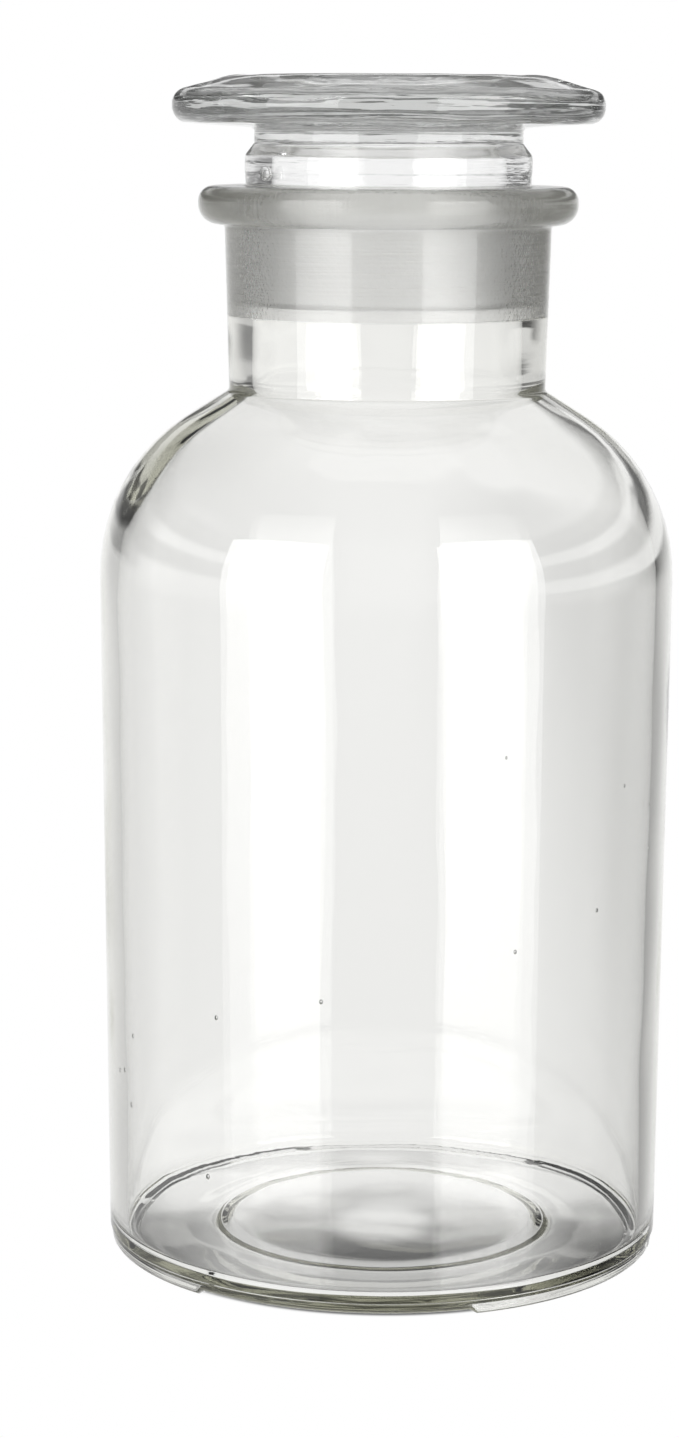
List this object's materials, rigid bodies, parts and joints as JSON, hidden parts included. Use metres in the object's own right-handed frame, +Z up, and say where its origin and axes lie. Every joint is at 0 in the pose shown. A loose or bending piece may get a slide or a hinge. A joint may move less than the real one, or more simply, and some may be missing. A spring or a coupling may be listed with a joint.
{
  "type": "specimen jar",
  "caption": "Wide-mouth clear glass specimen jar with rounded shoulders, a beaded lip and a disc-topped ground-glass stopper that lifts out.",
  "frame": {"origin": "centre of the foot circle, on the surface the jar stands on", "axes": "+Z up the axis of the jar and the stopper; -Y is the front, at the gap between two feet"},
  "size_m": [0.1022, 0.1022, 0.21],
  "materials": {
    "bottle_glass": "clear blown glass, faint green where it is thick, ground matt inside the top of the neck",
    "stopper_glass": "clear pressed glass with a fire-polished disc and a ground matt plug"
  },
  "bodies": {
    "bottle": {"bottle": "bottle_glass"},
    "stopper": {"stopper": "stopper_glass"}
  },
  "joints": [
    {"name": "stopper_lift", "type": "slide", "parent": "bottle", "child": "stopper", "axis": [0, 0, 1], "range_m": [0, 0.08]}
  ]
}
